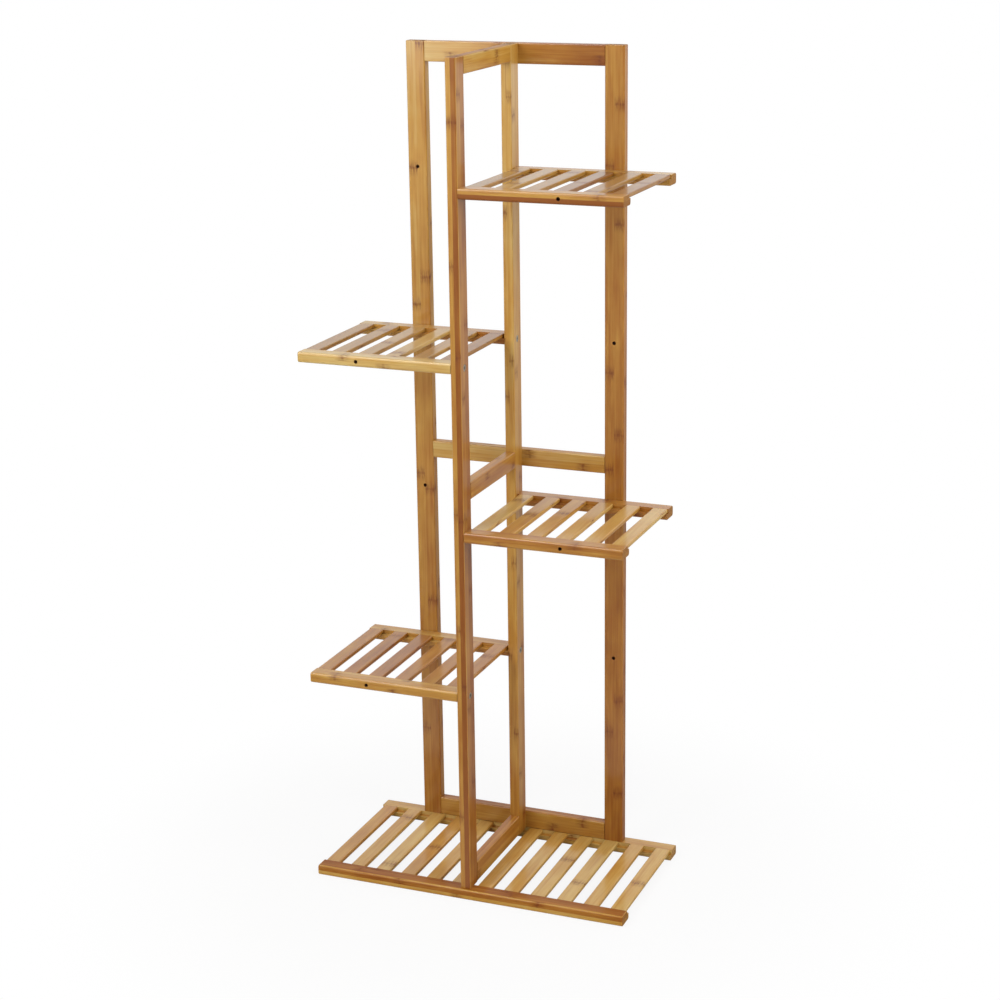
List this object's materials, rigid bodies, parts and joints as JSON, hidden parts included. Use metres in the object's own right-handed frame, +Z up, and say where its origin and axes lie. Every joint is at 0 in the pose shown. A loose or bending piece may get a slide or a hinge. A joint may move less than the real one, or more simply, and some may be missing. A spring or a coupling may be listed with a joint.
{
  "type": "plant stand shelving unit",
  "caption": "Narrow bamboo plant stand: a slatted base carries a back frame and a centre frame that hold staggered slatted half shelves on alternate sides.",
  "frame": {"origin": "on the floor, under the middle of the stand's box", "axes": "+X to the right, +Y to the back, +Z up, seen from the front"},
  "size_m": [0.4, 0.21, 1],
  "materials": {
    "bamboo_frame": "satin lacquer",
    "bamboo_rail": "satin lacquer",
    "bamboo_slat": "satin lacquer",
    "dowel_wood": "plain",
    "screw_steel": "zinc plated"
  },
  "bodies": {
    "root": {"left_rear_post": "bamboo_frame", "right_rear_post": "bamboo_frame", "front_centre_post": "bamboo_frame", "rear_centre_post": "bamboo_frame", "back_bottom_rail": "bamboo_frame", "back_middle_rail": "bamboo_frame", "back_top_rail": "bamboo_frame", "cross_bottom_rail": "bamboo_frame", "cross_middle_rail": "bamboo_frame", "cross_top_rail": "bamboo_frame", "base_front_rail": "bamboo_rail", "base_back_rail": "bamboo_rail", "left_lower_shelf_front_rail": "bamboo_rail", "left_lower_shelf_back_rail": "bamboo_rail", "right_lower_shelf_front_rail": "bamboo_rail", "right_lower_shelf_back_rail": "bamboo_rail", "left_upper_shelf_front_rail": "bamboo_rail", "left_upper_shelf_back_rail": "bamboo_rail", "right_upper_shelf_front_rail": "bamboo_rail", "right_upper_shelf_back_rail": "bamboo_rail", "base_slat_01": "bamboo_slat", "base_slat_02": "bamboo_slat", "base_slat_03": "bamboo_slat", "base_slat_04": "bamboo_slat", "base_slat_05": "bamboo_slat", "base_slat_06": "bamboo_slat", "base_slat_07": "bamboo_slat", "base_slat_08": "bamboo_slat", "base_slat_09": "bamboo_slat", "base_slat_10": "bamboo_slat", "base_slat_11": "bamboo_slat", "base_slat_12": "bamboo_slat", "left_lower_shelf_slat_1": "bamboo_slat", "left_lower_shelf_slat_2": "bamboo_slat", "left_lower_shelf_slat_3": "bamboo_slat", "left_lower_shelf_slat_4": "bamboo_slat", "left_lower_shelf_slat_5": "bamboo_slat", "left_lower_shelf_slat_6": "bamboo_slat", "right_lower_shelf_slat_1": "bamboo_slat", "right_lower_shelf_slat_2": "bamboo_slat", "right_lower_shelf_slat_3": "bamboo_slat", "right_lower_shelf_slat_4": "bamboo_slat", "right_lower_shelf_slat_5": "bamboo_slat", "right_lower_shelf_slat_6": "bamboo_slat", "left_upper_shelf_slat_1": "bamboo_slat", "left_upper_shelf_slat_2": "bamboo_slat", "left_upper_shelf_slat_3": "bamboo_slat", "left_upper_shelf_slat_4": "bamboo_slat", "left_upper_shelf_slat_5": "bamboo_slat", "left_upper_shelf_slat_6": "bamboo_slat", "right_upper_shelf_slat_1": "bamboo_slat", "right_upper_shelf_slat_2": "bamboo_slat", "right_upper_shelf_slat_3": "bamboo_slat", "right_upper_shelf_slat_4": "bamboo_slat", "right_upper_shelf_slat_5": "bamboo_slat", "right_upper_shelf_slat_6": "bamboo_slat", "frame_dowels": "dowel_wood", "shelf_screws": "screw_steel", "frame_screws": "screw_steel", "base_screws": "screw_steel"}
  },
  "joints": []
}
